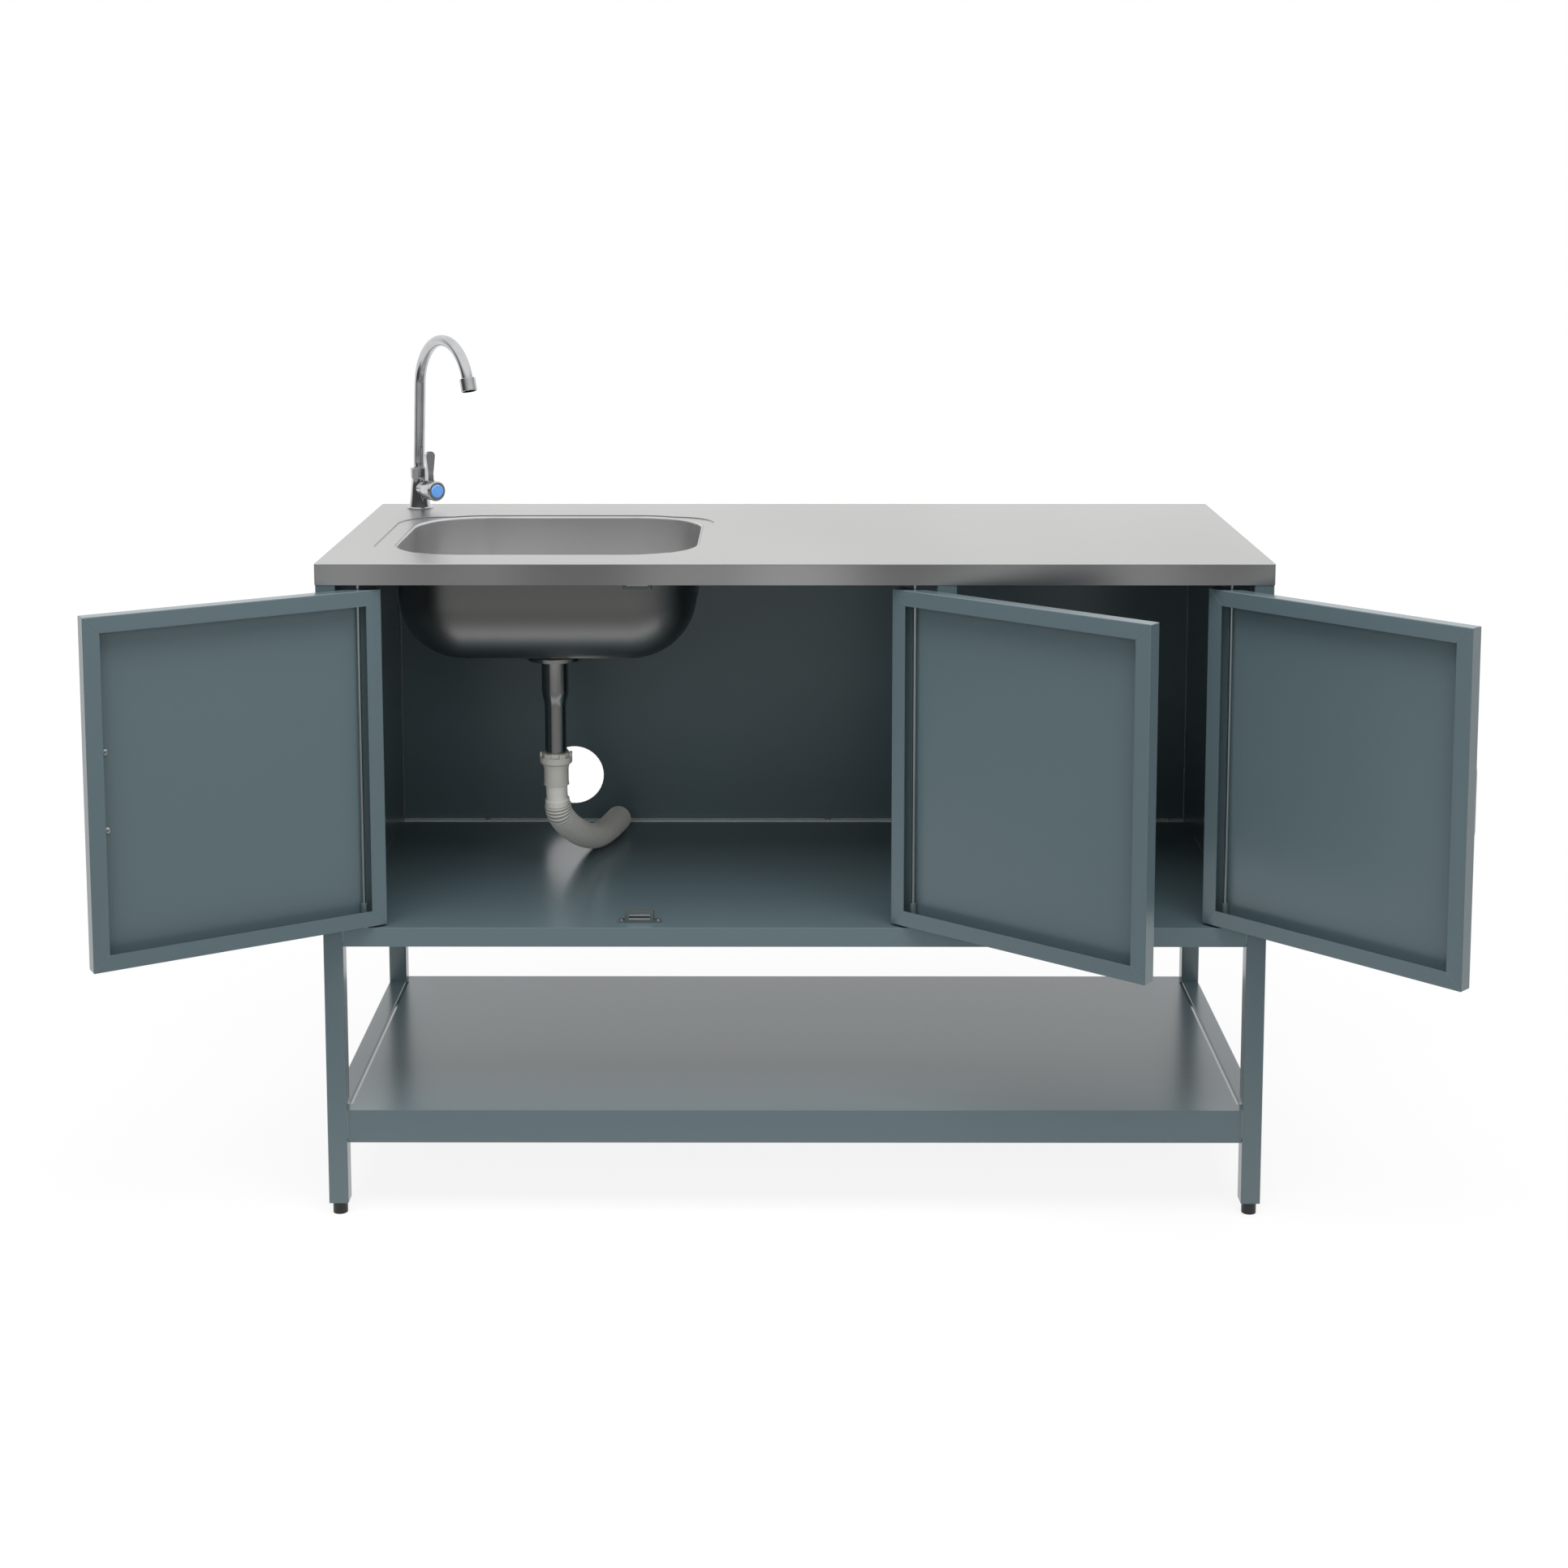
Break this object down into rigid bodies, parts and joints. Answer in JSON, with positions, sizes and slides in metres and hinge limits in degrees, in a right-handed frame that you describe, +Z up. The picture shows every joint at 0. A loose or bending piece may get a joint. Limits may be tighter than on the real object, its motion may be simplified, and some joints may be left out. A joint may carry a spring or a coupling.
{
  "type": "kitchen sink unit",
  "caption": "Free-standing kitchen sink unit: folded steel worktop with a drawn bowl, swivel tap, cupboard bays with pivoted doors, open shelf and levelling feet.",
  "frame": {"origin": "on the floor, at the centre of the four feet and of the worktop's outline", "axes": "+X along the unit towards the right as seen from the front, +Y towards the back, +Z up; the doors stand open towards -Y"},
  "size_m": [1.6499, 0.7628, 1.1045],
  "materials": {
    "worktop_steel": "satin brushed stainless sheet",
    "bowl_steel": "satin deep-drawn stainless sheet",
    "frame_paint": "fine-textured satin powder coat",
    "sheet_paint": "fine-textured satin powder coat",
    "door_paint": "fine-textured satin powder coat",
    "chrome_plate": "polished chrome plate",
    "tube_steel": "polished stainless tube",
    "screw_steel": "zinc-plated steel",
    "rod_steel": "drawn steel rod",
    "handle_steel": "satin steel bar",
    "black_plastic": "moulded plastic",
    "grey_plastic": "moulded plastic",
    "white_nylon": "moulded nylon",
    "blue_plastic": "glossy moulded plastic",
    "magnet_ferrite": "pressed ferrite",
    "black_rubber": "moulded rubber"
  },
  "bodies": {
    "frame": {"worktop": "worktop_steel", "sink_bowl": "bowl_steel", "leg_front_left": "frame_paint", "leg_front_right": "frame_paint", "leg_rear_left": "frame_paint", "leg_rear_right": "frame_paint", "top_rail_front": "frame_paint", "top_rail_rear": "frame_paint", "top_side_rails": "frame_paint", "mullion": "frame_paint", "floor_side_rails": "frame_paint", "shelf_side_rails": "frame_paint", "side_panel_left": "sheet_paint", "side_panel_right": "sheet_paint", "back_panel": "sheet_paint", "back_panel_screws": "screw_steel", "cupboard_floor": "sheet_paint", "shelf_panel": "sheet_paint", "leg_inserts": "black_plastic", "pivot_bushes": "white_nylon", "catch_housing_lower": "white_nylon", "catch_housing_upper": "white_nylon", "catch_magnets": "magnet_ferrite", "catch_poles": "rod_steel", "catch_screws": "screw_steel", "tap_body": "chrome_plate", "spout_nut": "chrome_plate", "tap_washer": "screw_steel", "tap_locknut": "screw_steel", "sink_waste": "tube_steel", "waste_gasket": "black_rubber", "waste_locknut": "black_plastic", "waste_tube": "tube_steel", "coupling_nut": "grey_plastic", "coupling_seal": "black_rubber", "coupling_sleeve": "grey_plastic", "drain_hose": "grey_plastic"},
    "door_left": {"door_panel_left": "door_paint", "pivot_rod_left": "rod_steel", "pivot_collar_left": "white_nylon", "handle_left": "handle_steel", "handle_screws_left": "screw_steel"},
    "door_middle": {"door_panel_middle": "door_paint", "pivot_rod_middle": "rod_steel", "pivot_collar_middle": "white_nylon", "handle_middle": "handle_steel", "handle_screws_middle": "screw_steel"},
    "door_right": {"door_panel_right": "door_paint", "pivot_rod_right": "rod_steel", "pivot_collar_right": "white_nylon", "handle_right": "handle_steel", "handle_screws_right": "screw_steel"},
    "spout": {"spout_tube": "chrome_plate", "aerator": "chrome_plate"},
    "tap_handle": {"tap_lever": "chrome_plate", "index_cap": "blue_plastic"},
    "foot_front_left": {"foot_front_left": "black_plastic"},
    "foot_front_right": {"foot_front_right": "black_plastic"},
    "foot_rear_left": {"foot_rear_left": "black_plastic"},
    "foot_rear_right": {"foot_rear_right": "black_plastic"}
  },
  "joints": [
    {"name": "left_door_hinge", "type": "hinge", "parent": "frame", "child": "door_left", "pos_m": [-0.5467, -0.2525, 0.6], "axis": [0, 0, -1], "range_deg": [-149, 2]},
    {"name": "middle_door_hinge", "type": "hinge", "parent": "frame", "child": "door_middle", "pos_m": [0.1507, -0.2525, 0.6], "axis": [0, 0, 1], "range_deg": [-141, 10]},
    {"name": "right_door_hinge", "type": "hinge", "parent": "frame", "child": "door_right", "pos_m": [0.5467, -0.2525, 0.6], "axis": [0, 0, 1], "range_deg": [-135, 16]},
    {"name": "spout_swivel", "type": "hinge", "parent": "frame", "child": "spout", "pos_m": [-0.5384, 0.2169, 0.9], "axis": [0, 0, 1], "continuous": true},
    {"name": "tap_handle_turn", "type": "hinge", "parent": "frame", "child": "tap_handle", "pos_m": [-0.5384, 0.2169, 0.88], "axis": [0.6018, -0.7986, 0], "range_deg": [0, 90]},
    {"name": "foot_front_left_screw", "type": "slide", "parent": "frame", "child": "foot_front_left", "axis": [0, 0, -1], "range_m": [0, 0.01]},
    {"name": "foot_front_right_screw", "type": "slide", "parent": "frame", "child": "foot_front_right", "axis": [0, 0, -1], "range_m": [0, 0.01]},
    {"name": "foot_rear_left_screw", "type": "slide", "parent": "frame", "child": "foot_rear_left", "axis": [0, 0, -1], "range_m": [0, 0.01]},
    {"name": "foot_rear_right_screw", "type": "slide", "parent": "frame", "child": "foot_rear_right", "axis": [0, 0, -1], "range_m": [0, 0.01]}
  ],
  "couplings": [
    {"joint": "right_door_hinge", "follows": "middle_door_hinge", "ratio": 0.957}
  ]
}
